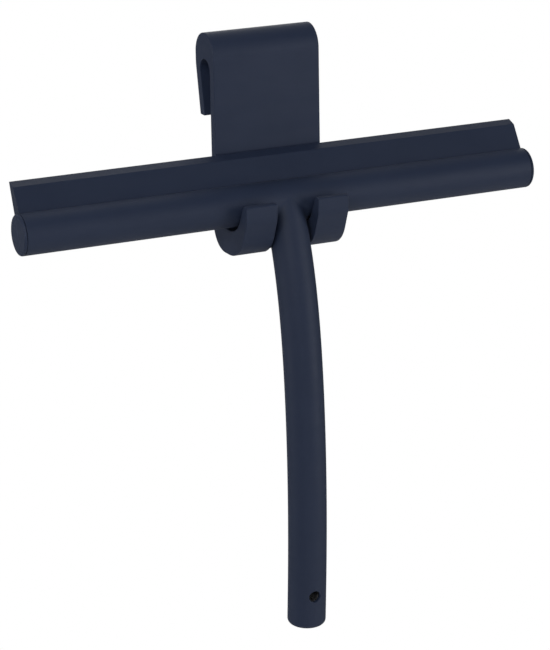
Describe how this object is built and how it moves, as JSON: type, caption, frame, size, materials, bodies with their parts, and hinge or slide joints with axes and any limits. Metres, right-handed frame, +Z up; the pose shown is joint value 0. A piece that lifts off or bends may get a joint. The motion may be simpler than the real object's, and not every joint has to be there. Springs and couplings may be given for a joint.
{
  "type": "squeegee",
  "caption": "Window squeegee with a round tubular head, a wedge blade and a curved round handle, hung by its neck in a bracket that hooks over a pane of glass.",
  "frame": {"origin": "where the hanger sits on a pane: mid-width, on the pane's front face, level with the top of the hook's slot, so the pane's upper edge is at Z = 0", "axes": "+X along the head to the right as its user sees it, +Y away from the user through the pane, +Z up"},
  "size_m": [0.245, 0.0633, 0.2661],
  "materials": {
    "silicone": "matt soft-touch silicone, navy black",
    "blade_silicone": "satin silicone, navy black",
    "stainless_steel": "plain drawn stainless steel",
    "aluminium": "extruded, unpolished",
    "cast_aluminium": "die cast, dull grey",
    "nylon": "moulded black nylon"
  },
  "bodies": {
    "hanger": {"hanger_body": "silicone", "hanger_core": "stainless_steel"},
    "squeegee": {"head_skin": "silicone", "head_channel": "aluminium", "end_cap_left": "silicone", "nut_plate": "stainless_steel", "neck_saddle": "cast_aluminium", "neck_screw": "stainless_steel", "neck_washer": "stainless_steel", "neck_pin": "stainless_steel", "handle_tube": "stainless_steel", "handle_sleeve": "silicone", "handle_end_plug": "nylon"},
    "blade": {"blade": "blade_silicone", "blade_rod": "stainless_steel", "end_cap_right": "silicone"}
  },
  "joints": [
    {"name": "lift_off", "type": "slide", "parent": "hanger", "child": "squeegee", "axis": [0, 0, 1], "range_m": [0, 0.045]},
    {"name": "blade_slide", "type": "slide", "parent": "squeegee", "child": "blade", "axis": [1, 0, 0], "range_m": [0, 0.245]}
  ]
}
